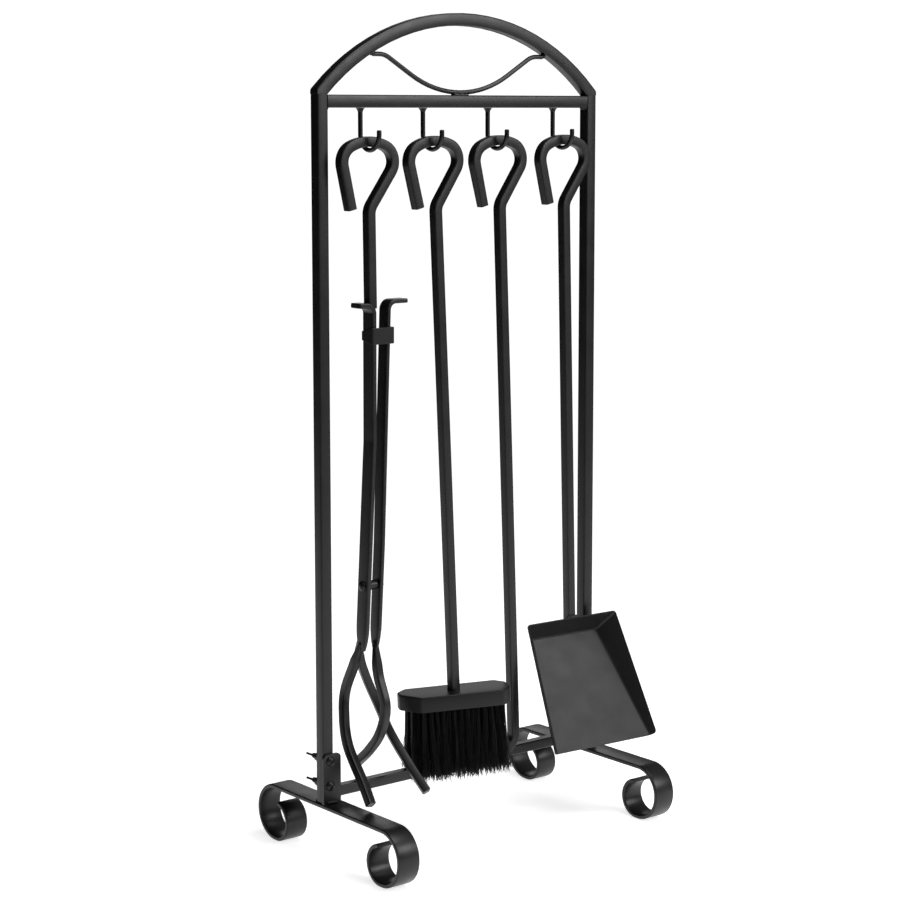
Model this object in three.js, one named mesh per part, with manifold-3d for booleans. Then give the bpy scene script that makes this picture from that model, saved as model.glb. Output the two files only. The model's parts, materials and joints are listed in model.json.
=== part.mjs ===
// A fireplace tool set: a welded tube stand on two scroll feet, with tongs, a brush, a poker and a
// shovel hanging from four wire hooks. Millimetres, +Z up, +X to the right across the stand, and the
// tools hang on the -Y side. The origin is on the floor, under the middle of the whole set.

import * as THREE from 'three';
import { ConvexGeometry } from 'three/addons/geometries/ConvexGeometry.js';
import { mergeVertices } from 'three/addons/utils/BufferGeometryUtils.js';
import Module from 'manifold-3d';

const wasm = await Module();
wasm.setup();

// ---------------------------------------------------------------- driving dimensions
const OVERALL_HEIGHT = 799;
const POST_SPACING = 330;         // between the posts' centres
const TUBE = 12;                  // side of the posts, the arch and the top crossbar
const TUBE_WALL = 1.2;
const TUBE_CORNER = 1.5;
const TOP_BAR_Z = 721.5;          // top face of the top crossbar
const LOW_BAR = 10;               // side of the lower crossbar
const LOW_BAR_TOP_Z = 69.5;
const ARCH_RADIUS = 238.5;        // outer face of the arch
const GAP = 0.3;                  // left between pieces that touch

const FOOT_WIDTH = 24;
const FOOT_THICKNESS = 4;
const FOOT_CORNER = 0.8;
const FOOT_OVERHANG = 2;          // of the foot past the post's outer face
const FOOT_FORWARD = 11.7;        // the foot's middle is this far in front of the posts
const SCROLL_SPACING = 174;       // between the centres of a foot's two scrolls
const SCROLL_OUTER_R = 25.75;
const SCROLL_INNER_R = 18;
const SCROLL_FLAT = 3;            // short flat where a scroll stands on the floor
const SCROLL_INNER_TURN = 172;    // degrees that the strip curls on past the flat

const PLATE_WIDTH = 20;
const PLATE_HEIGHT = 48;
const PLATE_THICKNESS = 3;
const SCREW_R = 2.5;
const SCREW_HEAD_R = 4.7;
const SCREW_HEAD_H = 3;
const SCREW_TAIL = 19;            // the screws end this far behind the posts' middle
const SCREW_HEIGHTS = [73, 97];

const HOOK_R = 2.25;
const HOOK_BEND_R = 14.5;
const HOOK_SHANK = 24.5;          // from the crossbar down to the middle of the hook's bend
const HOOK_WELD_R = 4;
const HOOK_WELD_H = 4;
const HOOK_X = [-118.5, -45, 34.5, 118.2];

const BAR = 9.5;                  // side of the square bar that the tools are made of
const BAR_CORNER = 1.2;
const LOOP_CROWN_R = 47;
const LOOP_SHOULDER_R = 16;
const LOOP_TAIL = 41;
const NECK_STRAIGHT = 37;
const NECK_R = 15;

const JAW_BAR = 8.2;              // side of the bar in the tongs' prongs

const FLAT_ANGLE = 12;            // degrees turned by each flat of a tight bend
const WIDE_FLAT_ANGLE = 5;        // and of a wide one
const WIDE_RADIUS = 60;
const DEG = Math.PI / 180;

// Places that follow from the dimensions above.
const postX = POST_SPACING / 2;
const postOuterX = postX + TUBE / 2;
const footTopZ = 2 * SCROLL_OUTER_R + FOOT_THICKNESS;
const hookBottomZ = TOP_BAR_Z - TUBE;
const hookCentreZ = hookBottomZ - HOOK_SHANK;
const bedDrop = Math.sqrt((HOOK_BEND_R - HOOK_R) ** 2 - (BAR / 2 - BAR_CORNER) ** 2);
const hangZ = hookCentreZ - bedDrop + 2 * GAP + BAR / 2;   // centre line of a loop's crown

// ---------------------------------------------------------------- materials
const steel = (color, roughness) => new THREE.MeshStandardMaterial({ color, roughness, metalness: 0.4 });
const FRAME_BLACK = steel(0x1b1b1c, 0.45);
const TOOL_BLACK = steel(0x222224, 0.5);
const PAN_GREY = steel(0x3a3b3d, 0.5);
const FASTENER = steel(0x101011, 0.3);
const HEAD_BLACK = new THREE.MeshStandardMaterial({ color: 0x1a1a1a, roughness: 0.6 });
const BRISTLE = new THREE.MeshStandardMaterial({ color: 0x0b0b0b, roughness: 0.95 });

// ---------------------------------------------------------------- solids
const named = (name, geometry, material) => {
  const mesh = new THREE.Mesh(geometry, material);
  mesh.name = name;
  return mesh;
};

const toSolid = (geometry) => {
  const bare = geometry.clone();
  bare.deleteAttribute('normal');
  bare.deleteAttribute('uv');
  const merged = mergeVertices(bare, 1e-4);
  return new wasm.Manifold(new wasm.Mesh({
    numProp: 3,
    vertProperties: Float32Array.from(merged.attributes.position.array),
    triVerts: Uint32Array.from(merged.index.array),
  }));
};

const fromSolid = (solid) => {
  const { vertProperties, triVerts } = solid.getMesh();
  const geometry = new THREE.BufferGeometry();
  geometry.setAttribute('position', new THREE.BufferAttribute(vertProperties, 3));
  geometry.setIndex(new THREE.BufferAttribute(triVerts, 1));
  return geometry;
};

const join = (...parts) => fromSolid(parts.map(toSolid).reduce((whole, part) => whole.add(part)));
const cut = (body, ...tools) => fromSolid(
  tools.map(toSolid).reduce((whole, tool) => whole.subtract(tool), toSolid(body)),
);
const keep = (body, region) => fromSolid(toSolid(body).intersect(toSolid(region)));

const box = (low, high) => {
  const size = high.map((value, axis) => value - low[axis]);
  return new THREE.BoxGeometry(...size).translate(...low.map((value, axis) => value + size[axis] / 2));
};

// A rectangle with rounded corners, centred on the origin.
const roundedRect = (width, height, radius, PathType = THREE.Shape) => {
  const [x, y] = [width / 2 - radius, height / 2 - radius];
  const path = new PathType();
  path.absarc(x, y, radius, 0, 90 * DEG);
  path.absarc(-x, y, radius, 90 * DEG, 180 * DEG);
  path.absarc(-x, -y, radius, 180 * DEG, 270 * DEG);
  path.absarc(x, -y, radius, 270 * DEG, 360 * DEG);
  path.closePath();
  return path;
};

const tubeSection = (side, wall) => {
  const section = roundedRect(side, side, TUBE_CORNER);
  section.holes.push(roundedRect(side - 2 * wall, side - 2 * wall, TUBE_CORNER / 2, THREE.Path));
  return section;
};

const roundSection = (radius) => new THREE.Shape().absarc(0, 0, radius, 0, 360 * DEG);

// ---------------------------------------------------------------- bent bars
// A bar is described as a smith would bend it: straight runs and bends, in one plane. A station is
// [a, b, heading], where a and b are the plane's two coordinates.
const run = (length) => ({ length, turn: 0, steps: 1 });
const bend = (radius, degrees) => ({
  length: radius * Math.abs(degrees) * DEG,
  turn: degrees * DEG,
  steps: Math.ceil(Math.abs(degrees) / (radius > WIDE_RADIUS ? WIDE_FLAT_ANGLE : FLAT_ANGLE)),
});

const route = (start, headingDegrees, moves) => {
  let [a, b] = start;
  let heading = headingDegrees * DEG;
  const stations = [[a, b, heading]];
  for (const { length, turn, steps } of moves) {
    const half = turn / steps / 2;
    const chord = (length / steps) * (half ? Math.sin(half) / half : 1);
    for (let step = 0; step < steps; step += 1) {
      a += chord * Math.cos(heading + half);
      b += chord * Math.sin(heading + half);
      heading += 2 * half;
      stations.push([a, b, heading]);
    }
  }
  return stations;
};

const reversed = (stations) => stations.map(([a, b, heading]) => [a, b, heading + Math.PI]).reverse();
const joinRoutes = (first, second) => [...reversed(first), ...second.slice(1)];

const XZ = { at: (a, b) => new THREE.Vector3(a, 0, b), normal: new THREE.Vector3(0, 1, 0) };
const YZ = { at: (a, b) => new THREE.Vector3(0, a, b), normal: new THREE.Vector3(1, 0, 0) };

// A curve that visits exactly the given stations, so that straight runs cost one step each. The
// section's first axis lies in the bend's plane, its second along the plane's normal.
class StationCurve extends THREE.Curve {
  constructor(stations, plane) {
    super();
    this.points = stations.map(([a, b]) => plane.at(a, b));
    this.tangents = stations.map(([, , heading]) => plane.at(Math.cos(heading), Math.sin(heading)));
    this.planeNormal = plane.normal;
  }

  getPointAt(u) {
    return this.points[Math.round(u * (this.points.length - 1))].clone();
  }

  computeFrenetFrames() {
    return {
      tangents: this.tangents,
      normals: this.tangents.map((tangent) => new THREE.Vector3().crossVectors(this.planeNormal, tangent)),
      binormals: this.tangents.map(() => this.planeNormal),
    };
  }
}

const sweep = (section, stations, plane, curveSegments = 1) => new THREE.ExtrudeGeometry(section, {
  steps: stations.length - 1,
  extrudePath: new StationCurve(stations, plane),
  curveSegments,
  bevelEnabled: false,
});

// ---------------------------------------------------------------- stand
const post = (side) => {
  const length = TOP_BAR_Z - footTopZ - GAP;
  const tube = new THREE.ExtrudeGeometry(tubeSection(TUBE, TUBE_WALL), {
    depth: length,
    bevelEnabled: false,
    curveSegments: 2,
  });
  return tube.translate(side * postX, 0, footTopZ + GAP);
};

const crossbar = (side, topZ) => {
  const halfLength = postX - TUBE / 2 - GAP;
  const stations = route([-halfLength, topZ - side / 2], 0, [run(2 * halfLength)]);
  return sweep(tubeSection(side, TUBE_WALL), stations, XZ);
};

// The arch stands on the tops of the posts, with its outer corners flush with their outer faces.
const arch = () => {
  const halfAngle = Math.asin(postOuterX / (ARCH_RADIUS - TUBE)) / DEG;
  const radius = ARCH_RADIUS - TUBE / 2;
  const crown = [0, OVERALL_HEIGHT - TUBE / 2];
  const half = (side) => route(crown, side > 0 ? 0 : 180, [bend(radius, -side * halfAngle)]);
  const whole = sweep(tubeSection(TUBE, TUBE_WALL), joinRoutes(half(-1), half(1)), XZ);
  return keep(whole, box([-postOuterX, -TUBE, TOP_BAR_Z + GAP], [postOuterX, TUBE, OVERALL_HEIGHT + TUBE]));
};

// The decorative rod dips in a wave from the arch to the top crossbar and back.
const waveRod = () => {
  const steep = 31;
  const bottom = [0, TOP_BAR_Z + HOOK_R + GAP];
  const half = (side) => route(bottom, side > 0 ? 0 : 180, [
    bend(115, side * steep),
    run(30),
    bend(22, -side * steep),
    run(7.4),
  ]);
  return sweep(roundSection(HOOK_R), joinRoutes(half(-1), half(1)), XZ, 8);
};

// A wire hook, with the small cone of its weld under the crossbar.
const hook = (x) => {
  const [topZ, tip, facets] = [hookBottomZ - GAP, 4, 10];
  const stations = route([0, topZ], -90, [run(topZ - hookCentreZ), bend(HOOK_BEND_R, -180), run(tip)]);
  const wire = sweep(roundSection(HOOK_R), stations, YZ, facets);
  const weld = new THREE.CylinderGeometry(HOOK_WELD_R, HOOK_R, HOOK_WELD_H, facets)
    .rotateX(90 * DEG)
    .translate(0, 0, topZ - HOOK_WELD_H / 2);
  return join(wire, weld).translate(x, 0, 0);
};

const foot = (side) => {
  const centreZ = footTopZ - FOOT_THICKNESS / 2;
  const half = (direction) => route([-FOOT_FORWARD, centreZ], direction > 0 ? 0 : 180, [
    run(SCROLL_SPACING / 2),
    bend(SCROLL_OUTER_R, -direction * 180),
    run(SCROLL_FLAT),
    bend(SCROLL_INNER_R, -direction * SCROLL_INNER_TURN),
  ]);
  const section = roundedRect(FOOT_THICKNESS, FOOT_WIDTH, FOOT_CORNER);
  const strip = sweep(section, joinRoutes(half(-1), half(1)), YZ);
  return strip.translate(side * (postOuterX + FOOT_OVERHANG - FOOT_WIDTH / 2), 0, 0);
};

// An upright plate, welded on the foot in front of the post and drilled for two screws.
const plate = (side) => {
  const radius = 4;
  const [halfWidth, height] = [PLATE_WIDTH / 2, PLATE_HEIGHT];
  const outline = new THREE.Shape();
  outline.moveTo(-halfWidth, 0);
  outline.lineTo(halfWidth, 0);
  outline.absarc(halfWidth - radius, height - radius, radius, 0, 90 * DEG);
  outline.absarc(-halfWidth + radius, height - radius, radius, 90 * DEG, 180 * DEG);
  outline.closePath();
  const centreX = postOuterX + FOOT_OVERHANG - PLATE_WIDTH / 2;
  for (const z of SCREW_HEIGHTS) {
    const hole = new THREE.Path();
    hole.absarc(side * (postX - centreX), z - footTopZ - GAP, SCREW_R + GAP, 0, 360 * DEG, true);
    outline.holes.push(hole);
  }
  const sheet = new THREE.ExtrudeGeometry(outline, {
    depth: PLATE_THICKNESS,
    bevelEnabled: false,
    curveSegments: 5,
  });
  return sheet.rotateX(90 * DEG).translate(side * centreX, -TUBE / 2 - GAP, footTopZ + GAP);
};

// Pan-head screw along Y, its head against the front of the plate.
const screw = (x, z) => {
  const headBackY = -TUBE / 2 - 2 * GAP - PLATE_THICKNESS;
  const domeSteps = 4;
  const profile = [new THREE.Vector2(0, headBackY - SCREW_HEAD_H)];
  for (let step = 1; step <= domeSteps; step += 1) {
    const angle = (step / domeSteps) * 90 * DEG;
    const [radius, y] = [SCREW_HEAD_R * Math.sin(angle), headBackY - SCREW_HEAD_H * Math.cos(angle)];
    profile.push(new THREE.Vector2(radius, y));
  }
  for (const [radius, y] of [[SCREW_R, headBackY], [SCREW_R, SCREW_TAIL], [0, SCREW_TAIL]]) {
    profile.push(new THREE.Vector2(radius, y));
  }
  return new THREE.LatheGeometry(profile, 12).translate(x, 0, z);
};

// Wing nut on a screw's tail: a round boss with two wings.
const wingNut = (x, z) => {
  const backY = TUBE / 2 + GAP;
  const boreR = SCREW_R + GAP;
  const [bossR, bossTopR, bossHeight] = [5, 4, 6];
  const [wingThickness, wingTipX, wingTipY, wingTipR, wingTurn] = [2, 9, 9, 2.2, 25];
  const boss = new THREE.LatheGeometry([
    new THREE.Vector2(boreR, backY),
    new THREE.Vector2(bossR, backY),
    new THREE.Vector2(bossTopR, backY + bossHeight),
    new THREE.Vector2(boreR, backY + bossHeight),
    new THREE.Vector2(boreR, backY),
  ], 12);

  // A wing widens from its root in the boss to its round tip.
  const wing = new THREE.Shape();
  wing.moveTo(3.6, backY + 0.5);
  wing.lineTo(wingTipX + 2, backY + 7);
  wing.absarc(wingTipX, backY + wingTipY, wingTipR, -30 * DEG, 130 * DEG);
  wing.lineTo(3.4, backY + 5.4);
  wing.closePath();
  const wings = [wingTurn, wingTurn + 180].map((degrees) => new THREE.ExtrudeGeometry(wing, {
    depth: wingThickness,
    bevelEnabled: false,
    curveSegments: 4,
  }).translate(0, 0, -wingThickness / 2).rotateY(degrees * DEG));
  return join(boss, ...wings).translate(x, 0, z);
};

// The posts are drilled for the screws.
const drilledPost = (side) => {
  const drillR = SCREW_R + GAP;
  const drills = SCREW_HEIGHTS.map((z) => new THREE.CylinderGeometry(drillR, drillR, 2 * TUBE, 12)
    .translate(side * postX, 0, z));
  return cut(post(side), ...drills);
};

const stand = () => {
  const group = new THREE.Group();
  for (const [word, side] of [['left', -1], ['right', 1]]) {
    group.add(named(`${word}_post`, drilledPost(side), FRAME_BLACK));
    group.add(named(`${word}_foot`, foot(side), FRAME_BLACK));
    group.add(named(`${word}_bracket_plate`, plate(side), FRAME_BLACK));
    SCREW_HEIGHTS.forEach((z, index) => {
      const level = ['lower', 'upper'][index];
      group.add(named(`${word}_${level}_screw`, screw(side * postX, z), FASTENER));
      group.add(named(`${word}_${level}_wing_nut`, wingNut(side * postX, z), FASTENER));
    });
  }
  group.add(named('arch', arch(), FRAME_BLACK));
  group.add(named('top_crossbar', crossbar(TUBE, TOP_BAR_Z), FRAME_BLACK));
  group.add(named('lower_crossbar', crossbar(LOW_BAR, LOW_BAR_TOP_Z), FRAME_BLACK));
  group.add(named('wave_rod', waveRod(), FRAME_BLACK));
  HOOK_X.forEach((x, index) => group.add(named(`hook_${index + 1}`, hook(x), FRAME_BLACK)));
  return group;
};

// ---------------------------------------------------------------- tools
// Each tool is drawn hanging straight down from its own origin, the middle of its loop's crown.
const loopHandle = (endZ, moreMoves = []) => {
  const crownTurn = 25;
  const neckSlant = 36.7;
  const tailSlant = 12;
  const tail = route([0, 0], 180, [
    bend(LOOP_CROWN_R, crownTurn),
    bend(LOOP_SHOULDER_R, 90 - crownTurn + tailSlant),
    run(LOOP_TAIL),
  ]);
  const neck = [
    bend(LOOP_CROWN_R, -crownTurn),
    bend(LOOP_SHOULDER_R, -(90 - crownTurn + neckSlant)),
    run(NECK_STRAIGHT),
    bend(NECK_R, neckSlant),
  ];
  const neckEndZ = route([0, 0], 0, neck).at(-1)[1];
  const shaft = route([0, 0], 0, [...neck, run(neckEndZ - endZ), ...moreMoves]);
  return joinRoutes(tail, shaft);
};

const barSection = roundedRect(BAR, BAR, BAR_CORNER);
const shaftX = loopHandle(-200).at(-1)[0];      // a shaft hangs this far beside its hook

// Hangs a tool on its hook, leaning so that its lower end swings towards +X.
const hang = (hookIndex, leanDegrees, shift, ...meshes) => {
  const group = new THREE.Group();
  group.position.set(HOOK_X[hookIndex] + shift, -HOOK_BEND_R, hangZ);
  group.rotation.y = -leanDegrees * DEG;
  group.add(...meshes);
  return group;
};

const brush = () => {
  const [headLength, headDepth, headHeight] = [110, 38, 15.5];
  const [bristleLength, bristleDepth, bristleHeight, bristleFlare] = [97, 28, 71.5, 6];
  const [headTopZ, yaw, edge] = [-535, -25 * DEG, 1];
  const shaft = sweep(barSection, loopHandle(headTopZ + GAP), XZ);
  const outline = roundedRect(headLength - 2 * edge, headDepth - 2 * edge, headDepth / 2 - 1.01 * edge);
  const head = new THREE.ExtrudeGeometry(outline, {
    depth: headHeight - 2 * edge,
    bevelThickness: edge,
    bevelSize: edge,
    bevelSegments: 1,
    curveSegments: 6,
  });
  head.translate(0, 0, headTopZ - headHeight + edge);
  const ring = (flare, z) => {
    const [length, depth] = [bristleLength + flare, bristleDepth + flare];
    return roundedRect(length, depth, depth / 2.01).getPoints(5)
      .map(({ x, y }) => new THREE.Vector3(x - flare / 2, y, z));
  };

  // The bristles fan out to the left, away from the poker.
  const bristleTopZ = headTopZ - headHeight - GAP;
  const bristleEndZ = bristleTopZ - bristleHeight;
  const block = new ConvexGeometry([...ring(0, bristleTopZ), ...ring(bristleFlare, bristleEndZ)]);
  for (const piece of [head, block]) piece.rotateZ(yaw).translate(shaftX, 0, 0);

  // The bristles stop short where they would touch the lower crossbar.
  const overCrossbarZ = LOW_BAR_TOP_Z + 2 - hangZ;
  const beforeCrossbarY = HOOK_BEND_R - LOW_BAR / 2 - 2 * GAP;
  const behind = box([-headLength, beforeCrossbarY, 2 * headTopZ], [headLength, headLength, overCrossbarZ]);
  const bristles = cut(block, behind);
  return hang(1, 2.6, 0, ...[
    named('brush_shaft', shaft, TOOL_BLACK),
    named('brush_head', head, HEAD_BLACK),
    named('brush_bristles', bristles, BRISTLE),
  ]);
};

// The poker's end is bent aside and drawn out to a point.
const poker = () => {
  const [bendTopZ, bendR, bendTurn, endRun] = [-592, 13, 53, 8];
  const stations = loopHandle(bendTopZ, [bend(bendR, -bendTurn), run(endRun)]);
  const [endX, endZ, heading] = stations.at(-1);
  const [pointLength, tipR, overlap] = [24, 0.8, 0.5];
  const rootR = (BAR / 2) * Math.SQRT2 - BAR_CORNER / 2;
  const point = new THREE.CylinderGeometry(tipR, rootR, pointLength, 4)
    .rotateY(45 * DEG)
    .translate(0, pointLength / 2 - overlap, 0)
    .rotateX(90 * DEG)
    .rotateY(90 * DEG)
    .rotateY(-heading)
    .translate(endX, 0, endZ);
  const bar = join(sweep(barSection, stations, XZ), point);
  return hang(2, 2.1, 0, named('poker_bar', bar, TOOL_BLACK));
};

// ---------------------------------------------------------------- shovel
// The pan in its own axes: X across, Y from the back fold to the mouth, Z out of its floor.
const PAN = {
  back: 80,             // width at the back fold
  mouth: 116,           // width at the mouth
  length: 122,
  backHeight: 24.7,     // of the back wall, out of the floor
  mouthHeight: 6.5,     // of the side walls where they end
  lean: 7.3,            // of the back wall's top, backwards
  flare: 0.61,          // of the side walls, outwards for each unit up
  sheet: 1.4,
};

// The space inside the pan's walls, or with no inset the space out to their outer faces.
const panHull = (inset, extraLength, extraHeight) => {
  const { back, mouth, length, backHeight, mouthHeight, lean, flare } = PAN;
  const widen = (mouth - back) / 2 / length;
  const backY = (z) => 1.1 * inset - (lean / backHeight) * z;
  const pair = (y, z) => [-1, 1].map((side) => {
    const halfWidth = back / 2 + widen * y + flare * z - 1.2 * inset;
    return new THREE.Vector3(side * halfWidth, y, z);
  });
  const backTop = backHeight + extraHeight;
  return new ConvexGeometry([
    ...pair(backY(inset), inset),
    ...pair(backY(backTop), backTop),
    ...pair(length + extraLength, inset),
    ...pair(length + extraLength, mouthHeight + extraHeight),
  ]);
};

const shovel = () => {
  const [tilt, yaw] = [35 * DEG, -7.5 * DEG];
  const down = new THREE.Vector3(0, 0, -1);
  const forward = new THREE.Vector3(Math.sin(yaw), -Math.cos(yaw), 0);
  const along = down.clone().multiplyScalar(Math.cos(tilt)).addScaledVector(forward, Math.sin(tilt));
  const out = forward.clone().multiplyScalar(Math.cos(tilt)).addScaledVector(down, -Math.sin(tilt));
  const across = new THREE.Vector3().crossVectors(along, out);
  const place = new THREE.Matrix4().makeBasis(across, along, out).setPosition(shaftX, BAR, -503.5);
  const pan = cut(panHull(0, 0, 0), panHull(PAN.sheet, 2, 12)).applyMatrix4(place);

  // The bar is cut to lie on the pan's back wall, where a collar of weld holds it.
  const wallTilt = Math.atan2(PAN.lean, PAN.backHeight);
  const underWall = box([-60, -GAP, -40], [60, 200, 60]).rotateX(wallTilt).applyMatrix4(place);
  const [endZ, collarTopZ, taperTopZ, collarWall] = [-510, -492, -482, 2.5];
  const bar = sweep(barSection, loopHandle(endZ), XZ);
  const collarRing = (half, z) => [[1, 1], [-1, 1], [-1, -1], [1, -1]]
    .map(([x, y]) => new THREE.Vector3(shaftX + x * half, y * half, z));
  const collar = new ConvexGeometry([
    ...collarRing(BAR / 2 + collarWall, endZ),
    ...collarRing(BAR / 2 + collarWall, collarTopZ),
    ...collarRing(BAR / 2 - 0.2, taperTopZ),
  ]);
  const shaft = cut(join(bar, collar), underWall);
  return hang(3, 1.46, 0, ...[
    named('shovel_shaft', shaft, TOOL_BLACK),
    named('shovel_pan', pan, PAN_GREY),
  ]);
};

// ---------------------------------------------------------------- tongs
// The legs are two flat bars side by side, given here in the stand's own axes. Each bends a little
// towards -X part way down.
const LEG_Y = -HOOK_BEND_R;
const FIXED_LEG = {
  hornX: -136,
  hornZ: 527.5,
  hornRun: 8.3,
  slant: 0.2,           // degrees from upright, above the knee
  kneeZ: 400,
  kneeTurn: 2.9,
  thick: 4.8,
  width: 16,
};
const ARM = {
  hornX: -79.8,
  hornZ: 530,
  hornRun: 14,
  slant: 2.1,
  kneeZ: 300,
  kneeTurn: 1.1,
  thick: 4.2,
  width: 14,
};
const HORN_BEND_R = 8;
const CROTCH_Z = 200;     // where the legs end and the prongs begin
const PIVOT_Z = 262;
const PRONG_OVERLAP = 8;  // of a prong with the leg that it grows from

// A leg's stations from the tip of its horn down to the crotch; way is +1 where the horn points to -X.
const legRoute = ({ hornX, hornZ, hornRun, slant, kneeZ, kneeTurn }, way) => {
  const turn = way > 0 ? -(90 + slant) : 90 - slant;
  const toKnee = (hornZ - HORN_BEND_R - kneeZ) / Math.cos(slant * DEG);
  const toCrotch = (kneeZ - CROTCH_Z) / Math.cos((slant + kneeTurn) * DEG);
  return route([hornX, hornZ], way > 0 ? 0 : 180, [
    run(hornRun),
    bend(HORN_BEND_R, turn),
    run(toKnee),
    bend(1, -kneeTurn),
    run(toCrotch),
  ]);
};

const leg = (shape, way, swell = 0) => {
  const section = roundedRect(shape.thick + 2 * swell, shape.width + 2 * swell, 1);
  return sweep(section, legRoute(shape, way), XZ).translate(0, LEG_Y, 0);
};

const prong = (...points) => new THREE.ExtrudeGeometry(roundedRect(JAW_BAR, JAW_BAR, 1), {
  steps: 14,
  extrudePath: new THREE.CatmullRomCurve3(points.map((point) => new THREE.Vector3(...point))),
  curveSegments: 1,
  bevelEnabled: false,
});

// The X of a leg's centre line at a height, along the straight that passes it.
const legXAt = (stations, z) => {
  const start = stations.findLastIndex(([, stationZ], index) => index < stations.length - 1 && stationZ > z);
  const [[x1, z1], [x2, z2]] = stations.slice(start, start + 2);
  return x1 + ((z - z1) / (z2 - z1)) * (x2 - x1);
};

const tongs = () => {
  const fixedX = (z) => legXAt(legRoute(FIXED_LEG, 1), z);
  const armX = (z) => legXAt(legRoute(ARM, -1), z);

  // One shouldered rivet holds both legs, and its shoulder keeps them apart.
  const [shankR, shoulderR, headR, dome] = [2.5, 4.5, 5, 2.5];
  const faces = (x, thick) => [x - thick / 2 - 1.5 * GAP, x + thick / 2 + 1.5 * GAP];
  const [fixedOuter, fixedInner] = faces(fixedX(PIVOT_Z), FIXED_LEG.thick);
  const [armInner, armOuter] = faces(armX(PIVOT_Z), ARM.thick);
  const profile = [
    [0, fixedOuter - dome], [headR * 0.6, fixedOuter - 0.8 * dome], [headR, fixedOuter],
    [shankR, fixedOuter], [shankR, fixedInner], [shoulderR, fixedInner],
    [shoulderR, armInner], [shankR, armInner], [shankR, armOuter],
    [headR, armOuter], [headR * 0.6, armOuter + 0.8 * dome], [0, armOuter + dome],
  ].map(([radius, x]) => new THREE.Vector2(radius, x));
  const aboutX = (geometry) => geometry.rotateZ(-90 * DEG).translate(0, LEG_Y, PIVOT_Z);
  const rivet = aboutX(new THREE.LatheGeometry(profile, 16));
  const bore = () => aboutX(new THREE.CylinderGeometry(shankR + GAP, shankR + GAP, 400, 16));

  // The fork's two prongs spread to both sides of the arm's single prong, one passing behind the arm.
  const [crotchX, armCrotchX] = [fixedX(CROTCH_Z), armX(CROTCH_Z)];
  const rootZ = CROTCH_Z + PRONG_OVERLAP;
  const middleX = -114.5;

  // Half the width between the fork's two prongs, with their depth and height, from the bow downwards.
  const spread = [[20.1, 10.5, 137], [26.2, -3.7, 108], [30, -33, 78], [33.3, -50, 61]];
  const tipsOn = (side) => spread.map(([half, y, z]) => [middleX + side * half, y, z]);
  const fork = [
    prong([crotchX, -14, rootZ], [crotchX, -1, 183], [-131, 12, 158], ...tipsOn(-1)),
    prong([crotchX, -9.5, rootZ], [-120, 4, 187], [-105, 13, 162], ...tipsOn(1)),
  ];
  const fixedLeg = cut(join(leg(FIXED_LEG, 1), ...fork), bore());
  const armProng = prong(
    [armCrotchX, LEG_Y, rootZ], [middleX, -18, 175], [middleX, -29, 146],
    [middleX, -21, 119], [middleX, -2.8, 97.5], [middleX, 20, 78.5],
  );
  const arm = cut(join(leg(ARM, -1), armProng), bore());

  // The strap is bent round the fixed leg and across the front of the arm, where it stops the arm.
  const [clipBottom, clipTop, clipSheet, leftEndY, rightEndY] = [491, 506.5, 1.5, -8, -13];
  const left = fixedX(clipTop) - FIXED_LEG.thick / 2 - 2.5 * GAP;
  const right = armX(clipTop) + ARM.thick / 2 + 4 * GAP;
  const front = LEG_Y - FIXED_LEG.width / 2 - GAP;
  const strap = new THREE.Shape([
    [left - clipSheet, leftEndY], [left - clipSheet, front], [left, front - clipSheet],
    [right, front - clipSheet], [right + clipSheet, front], [right + clipSheet, rightEndY],
    [right, rightEndY], [right, front], [left, front], [left, leftEndY],
  ].map(([x, y]) => new THREE.Vector2(x, y)));
  const clip = new THREE.ExtrudeGeometry(strap, { depth: clipTop - clipBottom, bevelEnabled: false })
    .translate(0, 0, clipBottom);

  // The handle's bar is coped to sit on the bend of the fixed leg.
  const [lean, shift, barEndZ] = [0.7, -3, -154.5];
  const handle = hang(0, lean, shift, new THREE.Mesh(sweep(barSection, loopHandle(barEndZ), XZ)));
  handle.updateMatrixWorld(true);
  const bar = handle.children[0].geometry.applyMatrix4(handle.children[0].matrixWorld);
  const shaft = cut(bar, leg(FIXED_LEG, 1, GAP));

  const group = new THREE.Group();
  return group.add(...[
    named('tongs_handle', shaft, TOOL_BLACK),
    named('tongs_fixed_leg', fixedLeg, TOOL_BLACK),
    named('tongs_arm', arm, TOOL_BLACK),
    named('tongs_rivet', rivet, TOOL_BLACK),
    named('tongs_strap', clip, TOOL_BLACK),
  ]);
};

const toolSet = new THREE.Group();
toolSet.add(stand(), tongs(), brush(), poker(), shovel());
export default toolSet;
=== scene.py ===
"""The look of a fireplace tool set: bent black steel bars, a bristle brush and a folded pan.

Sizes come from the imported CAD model's boxes, or have a name near what they shape. Metres and degrees.
"""

import json
import math
import random

import bmesh
import bpy
from mathutils import Matrix, Vector


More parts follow.
